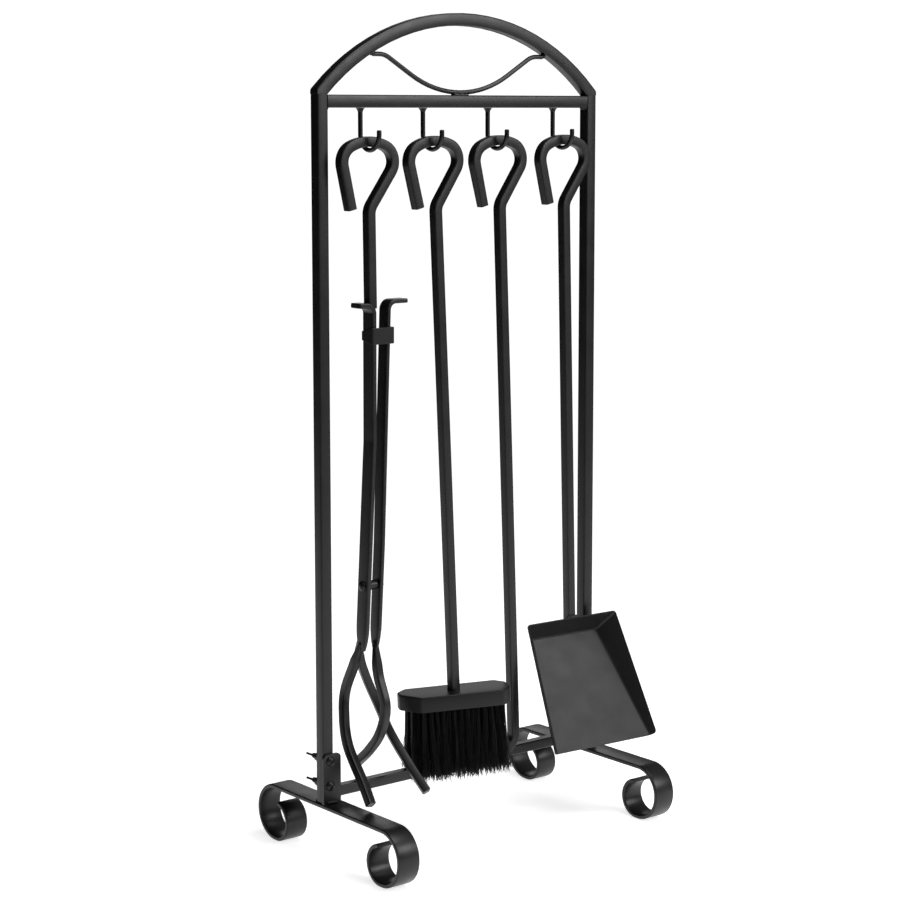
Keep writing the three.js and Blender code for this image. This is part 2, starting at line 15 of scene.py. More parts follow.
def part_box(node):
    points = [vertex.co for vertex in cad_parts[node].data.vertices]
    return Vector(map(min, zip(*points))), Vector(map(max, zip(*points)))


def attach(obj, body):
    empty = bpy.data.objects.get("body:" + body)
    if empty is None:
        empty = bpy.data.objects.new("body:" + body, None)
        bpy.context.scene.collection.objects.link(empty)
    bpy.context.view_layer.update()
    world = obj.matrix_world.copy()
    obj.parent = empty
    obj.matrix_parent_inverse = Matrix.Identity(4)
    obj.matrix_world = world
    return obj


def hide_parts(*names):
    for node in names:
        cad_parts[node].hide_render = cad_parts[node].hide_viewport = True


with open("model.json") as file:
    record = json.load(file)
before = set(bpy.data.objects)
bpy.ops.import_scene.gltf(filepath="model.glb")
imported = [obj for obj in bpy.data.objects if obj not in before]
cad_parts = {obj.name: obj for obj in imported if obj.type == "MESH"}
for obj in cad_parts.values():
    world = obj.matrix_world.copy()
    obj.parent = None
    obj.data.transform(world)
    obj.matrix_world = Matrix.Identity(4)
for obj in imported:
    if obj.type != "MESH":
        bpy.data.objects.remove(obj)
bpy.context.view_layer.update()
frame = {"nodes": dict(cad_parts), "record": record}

MM = 0.001
UP = Vector((0, 0, 1))


def span(node, axis):
    """(low, high) of a CAD node along an axis: 0 across, 1 front to back, 2 up."""
    low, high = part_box(node)
    return low[axis], high[axis]


def middle(node, axis):
    low, high = span(node, axis)
    return (low + high) / 2


def size(node, axis):
    low, high = span(node, axis)
    return high - low


# ------------------------ sizes read from the CAD model
TUBE = size("left_post", 0)
POST_OUTER = span("right_post", 0)[1]
TOP_BAR_TOP = span("top_crossbar", 2)[1]
TOP_BAR_BOTTOM = span("top_crossbar", 2)[0]
LOW_BAR = size("lower_crossbar", 2)
LOW_BAR_TOP = span("lower_crossbar", 2)[1]
OVERALL_HEIGHT = span("arch", 2)[1]
FOOT_TOP = span("left_foot", 2)[1]
FOOT_WIDTH = size("left_foot", 0)
HOOKS = [middle(f"hook_{number}", 0) for number in (1, 2, 3, 4)]
BAR = size("poker_bar", 1)

# ------------------------ bends, to the bars' middles, and other sizes that the boxes don't tell
ARCH_RADIUS = 232.5 * MM
WIRE_RADIUS = 2.25 * MM
HOOK_BEND = 14.5 * MM
HOOK_TIP = 4 * MM
FOOT_THICKNESS = 4 * MM
SCROLL_OUTER = 25.75 * MM
SCROLL_INNER = 18 * MM
SCROLL_SPACING = 174 * MM
SCROLL_FLAT = 3 * MM
SCROLL_INNER_TURN = 172
WAVE_SLOPE = 31
WAVE_DIP_BEND = 115 * MM
WAVE_SLOPING_RUN = 30 * MM
WAVE_END_BEND = 22 * MM
WAVE_END_RUN = 7.8 * MM
CROWN_BEND = 47 * MM
SHOULDER_BEND = 16 * MM
NECK_BEND = 15 * MM
NECK_STRAIGHT = 37 * MM
LOOP_TAIL = 41 * MM

# ------------------------ materials
def shader(name):
    """A new material's node tree and its main shader."""
    material = bpy.data.materials.new(name)
    material.use_nodes = True
    tree = material.node_tree
    return material, tree.nodes, tree.links, tree.nodes["Principled BSDF"]


def noise(nodes, links, coordinates, scale, detail=2.0):
    """A noise texture that stays with the piece it is on."""
    texture = nodes.new("ShaderNodeTexNoise")
    texture.inputs["Scale"].default_value = scale
    texture.inputs["Detail"].default_value = detail
    links.new(coordinates.outputs["Object"], texture.inputs["Vector"])
    return texture


ORANGE_PEEL_SCALE = 1400
CLOUD_SCALE = 45
DARKER, LIGHTER = 0.82, 1.2
GLOSSIER, DULLER = 0.07, 0.09


def powder_coat(name, color, roughness, grain=0.12, shine=0.36):
    """Baked black powder: a fine orange-peel grain, slightly uneven in gloss and in tone."""
    material, nodes, links, main = shader(name)
    coordinates = nodes.new("ShaderNodeTexCoord")
    fine = noise(nodes, links, coordinates, ORANGE_PEEL_SCALE, 3)
    broad = noise(nodes, links, coordinates, CLOUD_SCALE)

    tone = nodes.new("ShaderNodeMixRGB")
    tone.inputs["Color1"].default_value = (*(channel * DARKER for channel in color), 1)
    tone.inputs["Color2"].default_value = (*(channel * LIGHTER for channel in color), 1)
    links.new(broad.outputs["Fac"], tone.inputs["Fac"])
    links.new(tone.outputs["Color"], main.inputs["Base Color"])

    gloss = nodes.new("ShaderNodeMapRange")
    gloss.inputs["To Min"].default_value = roughness - GLOSSIER
    gloss.inputs["To Max"].default_value = roughness + DULLER
    links.new(broad.outputs["Fac"], gloss.inputs["Value"])
    links.new(gloss.outputs["Result"], main.inputs["Roughness"])

    bump = nodes.new("ShaderNodeBump")
    bump.inputs["Strength"].default_value = grain
    bump.inputs["Distance"].default_value = 0.2 * MM
    links.new(fine.outputs["Fac"], bump.inputs["Height"])
    links.new(bump.outputs["Normal"], main.inputs["Normal"])
    main.inputs["Specular IOR Level"].default_value = shine
    return material


def black_oxide(name):
    """Blackened screws: smoother and glossier than the powder coat."""
    material, nodes, links, main = shader(name)
    coordinates = nodes.new("ShaderNodeTexCoord")
    smut = noise(nodes, links, coordinates, 260, 4)
    gloss = nodes.new("ShaderNodeMapRange")
    gloss.inputs["To Min"].default_value = 0.25
    gloss.inputs["To Max"].default_value = 0.5
    links.new(smut.outputs["Fac"], gloss.inputs["Value"])
    links.new(gloss.outputs["Result"], main.inputs["Roughness"])
    main.inputs["Base Color"].default_value = (0.02, 0.02, 0.022, 1)
    main.inputs["Metallic"].default_value = 0.7
    return material


def painted_wood(name):
    """The brush head: black satin paint over wood whose grain runs along it."""
    material, nodes, links, main = shader(name)
    coordinates = nodes.new("ShaderNodeTexCoord")
    stretch = nodes.new("ShaderNodeMapping")
    stretch.inputs["Scale"].default_value = (12, 90, 160)
    links.new(coordinates.outputs["Object"], stretch.inputs["Vector"])
    grain = nodes.new("ShaderNodeTexNoise")
    grain.inputs["Scale"].default_value = 3
    grain.inputs["Detail"].default_value = 5
    links.new(stretch.outputs["Vector"], grain.inputs["Vector"])
    bump = nodes.new("ShaderNodeBump")
    bump.inputs["Strength"].default_value = 0.1
    bump.inputs["Distance"].default_value = 0.3 * MM
    links.new(grain.outputs["Fac"], bump.inputs["Height"])
    links.new(bump.outputs["Normal"], main.inputs["Normal"])
    main.inputs["Base Color"].default_value = (0.006, 0.006, 0.0065, 1)
    main.inputs["Roughness"].default_value = 0.42
    main.inputs["Specular IOR Level"].default_value = 0.24
    return material


def fibre(name):
    """Black plastic bristle, some strands a little lighter than others."""
    material, nodes, links, main = shader(name)
    coordinates = nodes.new("ShaderNodeTexCoord")
    strands = noise(nodes, links, coordinates, 320)
    tone = nodes.new("ShaderNodeMixRGB")
    tone.inputs["Color1"].default_value = (0.004, 0.004, 0.004, 1)
    tone.inputs["Color2"].default_value = (0.012, 0.012, 0.013, 1)
    links.new(strands.outputs["Fac"], tone.inputs["Fac"])
    links.new(tone.outputs["Color"], main.inputs["Base Color"])
    main.inputs["Roughness"].default_value = 0.5
    main.inputs["Specular IOR Level"].default_value = 0.25
    return material


COATS = {
    "frame_black": powder_coat("frame_black", (0.0035, 0.0035, 0.0038), 0.34),
    "tool_black": powder_coat("tool_black", (0.0042, 0.0042, 0.0045), 0.36),
    "pan_black": powder_coat("pan_black", (0.0045, 0.0045, 0.0048), 0.42, 0.1),
    "fastener_black": black_oxide("fastener_black"),
    "head_black": painted_wood("head_black"),
    "bristle_black": fibre("bristle_black"),
}


# ------------------------ bent bars
# A bar is a list of stations (a, b, heading) in one plane, made by straight runs and bends.
FLAT_ANGLE = math.radians(4)


def run(length):
    return length, 0.0


def bend(radius, degrees):
    return radius * math.radians(abs(degrees)), math.radians(degrees)


def route(start, heading_degrees, moves):
    a, b = start
    heading = math.radians(heading_degrees)
    stations = [(a, b, heading)]
    for length, turn in moves:
        steps = max(1, math.ceil(abs(turn) / FLAT_ANGLE))
        half = turn / steps / 2
        chord = length / steps * (math.sin(half) / half if half else 1)
        for _ in range(steps):
            a += chord * math.cos(heading + half)
            b += chord * math.sin(heading + half)
            heading += 2 * half
            stations.append((a, b, heading))
    return stations


def both_ways(first, second):
    """One route from two that start at the same point in opposite directions."""
    return [(a, b, heading + math.pi) for a, b, heading in reversed(first)] + second[1:]


def rounded_rect(width, height, radius, corner_steps=4):
    """Corners of a rounded rectangle, in order, centred on the origin."""
    ring = []
    for quarter, (x, y) in enumerate(((1, 1), (-1, 1), (-1, -1), (1, -1))):
        for step in range(corner_steps + 1):
            angle = math.radians(90) * (quarter + step / corner_steps)
            ring.append((
                x * (width / 2 - radius) + radius * math.cos(angle),
                y * (height / 2 - radius) + radius * math.sin(angle),
            ))
    return ring


def circle(radius, sides=20):
    return [
        (radius * math.cos(2 * math.pi * side / sides), radius * math.sin(2 * math.pi * side / sides))
        for side in range(sides)
    ]


def plane_frames(stations, plane):
    """Point, section axes and size for each station of a bar bent in the plane 'xz' or 'yz'."""
    frames = []
    for a, b, heading in stations:
        across = (-math.sin(heading), math.cos(heading))
        if plane == "xz":
            frames.append((Vector((a, 0, b)), Vector((across[0], 0, across[1])), Vector((0, 1, 0))))
        else:
            frames.append((Vector((0, a, b)), Vector((0, across[0], across[1])), Vector((1, 0, 0))))
    return frames


def skin(name, rings, slot, sharp=35):
    """A closed mesh over rings of points, capped at both ends."""
    vertices = [tuple(point) for ring in rings for point in ring]
    count = len(rings[0])
    faces = []
    for row in range(len(rings) - 1):
        here, beyond = row * count, (row + 1) * count
        for side in range(count):
            after = (side + 1) % count
            faces.append((here + side, here + after, beyond + after, beyond + side))
    faces.append(tuple(range(count - 1, -1, -1)))
    faces.append(tuple(range((len(rings) - 1) * count, len(rings) * count)))
    return solid(name, vertices, faces, slot, sharp)


def solid(name, vertices, faces, slot, sharp=35):
    """A smooth-shaded mesh object with creases where it turns sharply."""
    mesh = bpy.data.meshes.new(name)
    mesh.from_pydata(vertices, [], faces)
    work = bmesh.new()
    work.from_mesh(mesh)
    bmesh.ops.recalc_face_normals(work, faces=work.faces)
    work.to_mesh(mesh)
    work.free()
    mesh.polygons.foreach_set("use_smooth", [True] * len(mesh.polygons))
    mesh.set_sharp_from_angle(angle=math.radians(sharp))
    mesh.materials.append(COATS[slot])
    piece = bpy.data.objects.new(name, mesh)
    bpy.context.scene.collection.objects.link(piece)
    return piece


def broken_edge(section, amount):
    """The section drawn in a little, for the broken edge of a cut end."""
    widest = max(abs(x) for x, _ in section)
    tallest = max(abs(y) for _, y in section)
    return [(x * (1 - amount / widest), y * (1 - amount / tallest)) for x, y in section]


def sweep(name, section, frames, slot, factors=None, edge=0.5 * MM):
    """The section swept along frames of (point, across, side), at each frame scaled by its factor."""
    last = len(frames) - 1
    start_step = (frames[1][0] - frames[0][0]).normalized() * edge
    end_step = (frames[-1][0] - frames[-2][0]).normalized() * edge
    drawn_in = broken_edge(section, edge)

    def ring(outline, index, shift):
        point, across, side = frames[index]
        factor = factors[index] if factors else 1
        return [point + shift + (across * x + side * y) * factor for x, y in outline]

    nowhere = Vector()
    rings = [ring(drawn_in, 0, nowhere), ring(section, 0, start_step)]
    rings += [ring(section, index, nowhere) for index in range(1, last)]
    rings += [ring(section, last, -end_step), ring(drawn_in, last, nowhere)]
    return skin(name, rings, slot)


def place(piece, location, lean_degrees=0.0):
    """Moves the mesh itself: leans it so its lower end swings towards +X, then shifts it."""
    lean = Matrix.Rotation(math.radians(-lean_degrees), 4, "Y")
    piece.data.transform(Matrix.Translation(location) @ lean)
    return piece


def trim(piece, point, outward):
    """Cuts the piece off square beyond a plane, and closes the cut."""
    work = bmesh.new()
    work.from_mesh(piece.data)
    everything = work.verts[:] + work.edges[:] + work.faces[:]
    made = bmesh.ops.bisect_plane(work, geom=everything, plane_co=point, plane_no=outward, clear_outer=True)
    rim = [part for part in made["geom_cut"] if isinstance(part, bmesh.types.BMEdge)]
    bmesh.ops.holes_fill(work, edges=rim, sides=0)
    work.to_mesh(piece.data)
    work.free()
    piece.data.set_sharp_from_angle(angle=math.radians(35))
    return piece


def bevel(piece, width, segments=2):
    """Rounds the piece's sharp edges."""
    modifier = piece.modifiers.new("edges", "BEVEL")
    modifier.width = width
    modifier.segments = segments
    modifier.limit_method = "ANGLE"
    modifier.angle_limit = math.radians(40)
    modifier.harden_normals = True
    return piece


def curve_frames(points, first_across, steps=40):
    """Frames along a smooth curve through the points, turning about it no more than they must."""
    padded = [points[0] * 2 - points[1], *points, points[-1] * 2 - points[-2]]
    per_span = steps // (len(points) - 1)
    places = []
    for index in range(len(points) - 1):
        before, start, end, after = padded[index:index + 4]
        for step in range(per_span):
            t = step / per_span
            places.append(0.5 * (
                2 * start
                + (end - before) * t
                + (2 * before - 5 * start + 4 * end - after) * t ** 2
                + (3 * start - before - 3 * end + after) * t ** 3
            ))
    places.append(points[-1])
    across = first_across
    frames = []
    for index, here in enumerate(places):
        tangent = (places[min(index + 1, len(places) - 1)] - places[max(index - 1, 0)]).normalized()
        across = (across - tangent * across.dot(tangent)).normalized()
        frames.append((here, across, tangent.cross(across)))
    return frames


def weld_bead(name, points, radius, slot, seed):
    """A lumpy bead of weld along a line of points, painted over."""
    dice = random.Random(seed)
    frames = curve_frames(points, Vector((0.3, 0.5, 0.8)), 8 * (len(points) - 1))
    rings = []
    for index, (point, across, side) in enumerate(frames):
        end = min(index, len(frames) - 1 - index)
        lump = radius * (0.45 if end == 0 else 0.85 + 0.3 * dice.random())
        rings.append([point + across * x + side * y for x, y in circle(lump, 8)])
    return skin(name, rings, slot, sharp=80)


# ------------------------ stand
SIDES = (("left", -1), ("right", 1))
ACROSS = Vector((1, 0, 0))
BACKWARDS = Vector((0, 1, 0))
POST_MIDDLE = POST_OUTER - TUBE / 2
HOOK_TOP = span("hook_1", 2)[1]
HOOK_CENTRE = span("hook_1", 2)[0] + WIRE_RADIUS + HOOK_BEND
FOOT_CENTRE = middle("left_foot", 1)
JOINT = 0.5 * MM          # welded tubes run this far past their CAD ends, to meet their neighbours
tube_section = rounded_rect(TUBE, TUBE, 1.6 * MM)
low_bar_section = rounded_rect(LOW_BAR, LOW_BAR, 1.3 * MM)


def straight(name, section, start, end):
    """A straight bar of the stand between two points across and up."""
    length = math.dist(start, end)
    heading = math.degrees(math.atan2(end[1] - start[1], end[0] - start[0]))
    frames = plane_frames(route(start, heading, [run(length)]), "xz")
    return sweep(name, section, frames, "frame_black", edge=0.1 * MM)


def stand_piece(piece, *nodes):
    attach(piece, "stand")
    if nodes:
        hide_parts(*nodes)
    return piece


def stand_bead(name, centre, direction, offsets, radius, seed):
    """A bead of weld through the points at these offsets from its centre, in millimetres."""
    points = [centre + direction * (offset * MM) for offset in offsets]
    return stand_piece(weld_bead(name, points, radius, "frame_black", seed))


def posts():
    for word, side in SIDES:
        low, high = span(f"{word}_post", 2)
        x = side * POST_MIDDLE
        ends = (x, low - JOINT), (x, high + JOINT)
        stand_piece(straight(f"{word}_post_tube", tube_section, *ends), f"{word}_post")


def crossbars():
    for node, section in (("top_crossbar", tube_section), ("lower_crossbar", low_bar_section)):
        left, right = span(node, 0)
        z = middle(node, 2)
        ends = (left - JOINT, z), (right + JOINT, z)
        stand_piece(straight(f"{node}_tube", section, *ends), node)


def arch():
    half_angle = math.degrees(math.asin(POST_OUTER / (ARCH_RADIUS - TUBE / 2)))
    crown = (0, OVERALL_HEIGHT - TUBE / 2)
    left = route(crown, 180, [bend(ARCH_RADIUS, half_angle)])
    right = route(crown, 0, [bend(ARCH_RADIUS, -half_angle)])
    piece = sweep("arch_tube", tube_section, plane_frames(both_ways(left, right), "xz"), "frame_black")
    trim(piece, (0, 0, span("arch", 2)[0]), (0, 0, -1))
    for side in (-1, 1):
        trim(piece, (side * POST_OUTER, 0, 0), (side, 0, 0))
    stand_piece(bevel(piece, 0.5 * MM), "arch")


def wave_rod():
    """A round rod that dips to the top crossbar, welded at each end and on either side of the dip."""
    bottom = (0, span("wave_rod", 2)[0] + WIRE_RADIUS)

    def half(side):
        return route(bottom, 0 if side > 0 else 180, [
            bend(WAVE_DIP_BEND, side * WAVE_SLOPE),
            run(WAVE_SLOPING_RUN),
            bend(WAVE_END_BEND, -side * WAVE_SLOPE),
            run(WAVE_END_RUN),
        ])

    frames = plane_frames(both_ways(half(-1), half(1)), "xz")
    stand_piece(sweep("wave_rod_wire", circle(WIRE_RADIUS), frames, "frame_black"), "wave_rod")
    for word, side in SIDES:
        x, z, _ = half(side)[-1]
        end = Vector((x + side * 0.5 * MM, 0, z + 0.5 * MM))
        stand_bead(f"wave_rod_{word}_weld", end, BACKWARDS, (-2.6, 0, 2.6), 1.9 * MM, side)
    for word, y in (("front", -1.8 * MM), ("back", 1.8 * MM)):
        seat = Vector((0, y, TOP_BAR_TOP + 0.4 * MM))
        stand_bead(f"wave_rod_seat_weld_{word}", seat, ACROSS, (-9, 0, 9), 1.3 * MM, 5)


def hooks():
    """Round wire bent up in front, each with a flared weld under the top crossbar."""
    steps = 6
    weld_drop = 5 * MM
    weld_flare = 2.2 * MM
    for number, x in enumerate(HOOKS, 1):
        stations = route((0, HOOK_TOP), -90, [
            run(HOOK_TOP - HOOK_CENTRE),
            bend(HOOK_BEND, -180),
            run(HOOK_TIP),
        ])
        frames = plane_frames(stations, "yz")
        wire = sweep(f"hook_{number}_wire", circle(WIRE_RADIUS), frames, "frame_black", edge=0.8 * MM)
        stand_piece(place(wire, (x, 0, 0)), f"hook_{number}")
        rings = []
        for step in range(steps + 1):
            fraction = step / steps
            radius = WIRE_RADIUS * 0.95 + weld_flare * (1 - fraction) ** 2
            z = HOOK_TOP + 0.2 * MM - weld_drop * fraction
            rings.append([Vector((x + a, b, z)) for a, b in circle(radius, 18)])
        stand_piece(skin(f"hook_{number}_weld", rings, "frame_black", sharp=60))


def feet():
    """Flat bar along the floor's depth, curled under into a tightening scroll at each end."""
    section = rounded_rect(FOOT_THICKNESS, FOOT_WIDTH, 1.1 * MM)
    height = FOOT_TOP - FOOT_THICKNESS / 2

    def half(direction):
        return route((FOOT_CENTRE, height), 0 if direction > 0 else 180, [
            run(SCROLL_SPACING / 2),
            bend(SCROLL_OUTER, -direction * 180),
            run(SCROLL_FLAT),
            bend(SCROLL_INNER, -direction * SCROLL_INNER_TURN),
        ])

    for word in ("left", "right"):
        frames = plane_frames(both_ways(half(-1), half(1)), "yz")
        bar = sweep(f"{word}_foot_bar", section, frames, "frame_black")
        stand_piece(place(bar, (middle(f"{word}_foot", 0), 0, 0)), f"{word}_foot")


def post_welds():
    """Beads where the posts meet the crossbars and the feet."""
    reach = TUBE / 2 + 0.2 * MM
    for word, side in SIDES:
        inner = side * (POST_MIDDLE - TUBE / 2)
        top = Vector((inner, -reach + 1.5 * MM, TOP_BAR_BOTTOM - 0.2 * MM))
        stand_bead(f"{word}_top_corner_weld", top, BACKWARDS, (0, 4.5, 9), 1.5 * MM, 11 + side)
        low = Vector((inner, -LOW_BAR / 2, LOW_BAR_TOP))
        stand_bead(f"{word}_low_corner_weld", low, BACKWARDS, (0, 5, 10), 1.4 * MM, 21 + side)
        back = Vector((side * POST_MIDDLE, reach, FOOT_TOP + 0.3 * MM))
        stand_bead(f"{word}_foot_weld", back, ACROSS, (-6, 0, 6), 1.8 * MM, 31 + side)


def bracket_welds():
    """The weld along the foot in front of each bracket plate."""
    inset = 4 * MM
    for word, side in SIDES:
        node = f"{word}_bracket_plate"
        low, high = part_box(node)
        front, bottom = low[1] + 0.3 * MM, low[2] + 0.8 * MM
        line = [Vector((x, front, bottom)) for x in (low[0] + inset, middle(node, 0), high[0] - inset)]
        stand_piece(weld_bead(f"{word}_plate_weld", line, 1.9 * MM, "frame_black", 41 + side))


def lathe(name, profile, slot, sides=40):
    """A round piece about the Y axis from (radius, y) points, the first and the last on the axis."""
    rings = []
    for radius, y in profile:
        rings.append([Vector((a, y, b)) for a, b in circle(max(radius, 0.01 * MM), sides)])
    return skin(name, rings, slot)


def cross_recess(head_radius, depth):
    """The cutter for a Phillips recess: two crossed wedges, narrower at the bottom."""
    long_half, thin_half = 0.52 * head_radius, 0.13 * head_radius
    vertices, faces = [], []
    for swap in (False, True):
        base = len(vertices)
        for y, taper in ((-depth, 1.25), (depth, 0.55)):
            for u, v in ((1, 1), (-1, 1), (-1, -1), (1, -1)):
                a, b = u * long_half * taper, v * thin_half * taper
                vertices.append((b, y, a) if swap else (a, y, b))
        faces += [(base, base + 1, base + 2, base + 3), (base + 7, base + 6, base + 5, base + 4)]
        for corner in range(4):
            after = (corner + 1) % 4
            faces.append((base + corner, base + 4 + corner, base + 4 + after, base + after))
    return vertices, faces


def cut_away(piece, vertices, faces, location):
    """Cuts a closed shape out of the piece for good."""
    moved = [tuple(Vector(vertex) + Vector(location)) for vertex in vertices]
    cutter = solid("cutter", moved, faces, "fastener_black")
    modifier = piece.modifiers.new("recess", "BOOLEAN")
    modifier.operation = "DIFFERENCE"
    modifier.use_self = True
    modifier.object = cutter
    bpy.context.view_layer.update()
    cut = bpy.data.meshes.new_from_object(piece.evaluated_get(bpy.context.evaluated_depsgraph_get()))
    piece.modifiers.clear()
    piece.data = cut
    piece.data.set_sharp_from_angle(angle=math.radians(35))
    bpy.data.objects.remove(cutter, do_unlink=True)
    return piece


SCREW_DOME = 3 * MM
SCREW_SHANK = 2.5 * MM
THREAD_PITCH = 0.8 * MM
RECESS_DEPTH = 1.3 * MM
RECESS_TURN = {"lower": 28, "upper": 61}


def screw_profile(front, back, head_radius):
    """Half of a pan-head screw from its head's crown to its tip: domed head, then a ridged shank."""
    under_head = front + SCREW_DOME
    steps = 8
    profile = [(0, front)]
    for step in range(1, steps + 1):
        angle = math.radians(90) * step / steps
        y = front + SCREW_DOME * (1 - math.cos(angle) ** 1.3)
        profile.append((head_radius * math.sin(angle), y))
    profile += [(head_radius, under_head), (SCREW_SHANK, under_head)]
    for turn in range(int((back - under_head) / THREAD_PITCH) - 1):
        y = under_head + THREAD_PITCH * (turn + 0.5)
        profile += [(SCREW_SHANK * 0.84, y), (SCREW_SHANK, y + THREAD_PITCH / 2)]
    return [*profile, (SCREW_SHANK * 0.8, back), (0, back)]


def screws():
    for word, _ in SIDES:
        for level, turn in RECESS_TURN.items():
            node = f"{word}_{level}_screw"
            front, back = span(node, 1)
            head_radius = size(node, 0) / 2
            piece = lathe(f"{node}_turned", screw_profile(front, back, head_radius), "fastener_black")
            vertices, faces = cross_recess(head_radius, RECESS_DEPTH)
            twist = Matrix.Rotation(math.radians(turn), 3, "Y")
            cut_away(piece, [twist @ Vector(vertex) for vertex in vertices], faces, (0, front, 0))
            piece.data.transform(Matrix.Translation((middle(node, 0), 0, middle(node, 2))))
            stand_piece(piece, node)


# ------------------------ tools
# Each tool is drawn hanging straight down from the middle of its loop's crown, then leaned and moved.
HANG_HEIGHT = span("brush_shaft", 2)[1] - BAR / 2
TOOL_PLANE = middle("poker_bar", 1)
LEANS = {"tongs": 0.7, "brush": 2.6, "poker": 2.1, "shovel": 1.46}
TONGS_SHIFT = -3 * MM     # the tongs' loop hangs this far off its hook's middle
CROWN_TURN = 25
TAIL_SLANT = 12
NECK_SLANT = 36.7
bar_section = rounded_rect(BAR, BAR, 1.3 * MM)


def neck_moves():
    return [
        bend(CROWN_BEND, -CROWN_TURN),
        bend(SHOULDER_BEND, -(90 - CROWN_TURN + NECK_SLANT)),
        run(NECK_STRAIGHT),
        bend(NECK_BEND, NECK_SLANT),
    ]


SHAFT_X = route((0, 0), 0, neck_moves())[-1][0]
NECK_END = route((0, 0), 0, neck_moves())[-1][1]


def loop_handle(end, more_moves=()):
    """Stations of a bar bent into a loop, down its straight shaft to the given height."""
    tail = route((0, 0), 180, [
        bend(CROWN_BEND, CROWN_TURN),
        bend(SHOULDER_BEND, 90 - CROWN_TURN + TAIL_SLANT),
        run(LOOP_TAIL),
    ])
    return both_ways(tail, route((0, 0), 0, [*neck_moves(), run(NECK_END - end), *more_moves]))


def hang(piece, tool, *nodes):
    """Leans a tool's piece, moves it to its hook and lets it ride on the tool."""
    number = list(LEANS).index(tool)
    shift = TONGS_SHIFT if tool == "tongs" else 0
    place(piece, (HOOKS[number] + shift, TOOL_PLANE, HANG_HEIGHT), LEANS[tool])
    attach(piece, tool)
    if nodes:
        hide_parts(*nodes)
    return piece


def collar(name, height, low, radius, tool):
    """The weld round the end of a shaft: square at the bar, wider and rounder below."""
    rings = []
    dice = random.Random(radius)
    steps = 5
    unevenness = 0.25 * MM
    for step in range(steps + 1):
        fraction = step / steps
        half = BAR / 2 + 0.2 * MM + (radius - BAR / 2) * (1 - fraction) ** 1.8
        corner = min(half * 0.8, 1.5 * MM + 3 * MM * (1 - fraction))
        ring = rounded_rect(2 * half, 2 * half, corner, 5)
        z = low + height * fraction
        rings.append([
            Vector((SHAFT_X + x, y, z + unevenness * dice.uniform(-1, 1) * (1 - fraction)))
            for x, y in ring
        ])
    return hang(skin(name, rings, "tool_black", sharp=70), tool)


# Heights from the loop's crown, which is at zero.
HEAD_TOP = -535 * MM
POKER_CRANK = -592 * MM

HEAD_SIZE = (110 * MM, 38 * MM, 15.5 * MM)
HEAD_TURN = -25
FRONT_LEFT_CUT = 18 * MM
CORNER_CUT = 9 * MM
CORNER_EASE = 1.2 * MM


def head_outline(length, depth):
    """The head from above: a rectangle with its corners cut at 45 degrees, the front left one most."""
    corners = []
    for x, y in ((1, -1), (1, 1), (-1, 1), (-1, -1)):
        cut = FRONT_LEFT_CUT if x + y == -2 else CORNER_CUT
        along_side = Vector((x * (length / 2 - cut), y * depth / 2))
        along_end = Vector((x * length / 2, y * (depth / 2 - cut)))
        corners += [along_side, along_end] if x * y < 0 else [along_end, along_side]
    ring = []
    for index, corner in enumerate(corners):
        for neighbour in (corners[index - 1], corners[(index + 1) % len(corners)]):
            ring.append(corner + (neighbour - corner).normalized() * CORNER_EASE)
    return ring


def brush_head():
    """A block with a rounded edge above and half as much below, turned a little about its shaft."""
    length, depth, height = HEAD_SIZE
    edge = 1.4 * MM
    steps = 4
    levels = []
    for step in range(steps + 1):
        angle = math.radians(90) * step / steps
        levels.append((edge * (1 - math.sin(angle)), edge * (1 - math.cos(angle))))
    rings = []
    for inset, drop in levels:
        outline = head_outline(length - 2 * inset, depth - 2 * inset)
        rings.append([Vector((x, y, HEAD_TOP - drop)) for x, y in outline])
    for inset, drop in reversed(levels):
        rings.append([
            Vector((x, y, HEAD_TOP - height + drop * 0.5))
            for x, y in head_outline(length - inset, depth - inset)
        ])
    turn = Matrix.Rotation(math.radians(HEAD_TURN), 3, "Z")
    turned = [[turn @ point + Vector((SHAFT_X, 0, 0)) for point in ring] for ring in rings]
    hang(skin("brush_head_block", turned, "head_black", sharp=50), "brush", "brush_head")


BRISTLE_LENGTH = 73 * MM
TUFT_SPACING = 6.6 * MM
TUFT_RADIUS = 2.1 * MM
TUFT_SPREAD = 2.6 * MM
STRANDS_PER_TUFT = 40
STRAND_RADIUS = 0.42 * MM
STRAND_STEPS = 6
LEAD_HEIGHT = 8 * MM      # over which a strand bends to pass in front of the crossbar
# How far tufts and strands stray from hanging straight, as standard deviations.
TUFT_LEAN_ACROSS = 2.4 * MM
TUFT_LEAN_DEEP = 1.6 * MM
TUFT_WAVE = 1.3 * MM
STRAND_STRAY = 1.1 * MM
STRAND_WAVE = 0.9 * MM
TIP_UNEVENNESS = 2.2 * MM


def tuft_places(length, depth, dice):
    """Where the tufts are set in the head: staggered rows in a rounded outline, none quite true."""
    places = []
    rows = int(depth / TUFT_SPACING) + 1
    for row in range(rows):
        y = (row - (rows - 1) / 2) * depth / (rows - 1)
        reach = (length - depth) / 2 + math.sqrt(max((depth / 2) ** 2 - y ** 2, 0))
        count = int(2 * reach / TUFT_SPACING) + 1
        for column in range(count):
            stagger = 0.5 * (row % 2) / count
            x = reach * (2 * (column + 0.5) / count - 1 + stagger)
            places.append((x + dice.gauss(0, 0.6 * MM), y + dice.gauss(0, 0.4 * MM)))
    return places


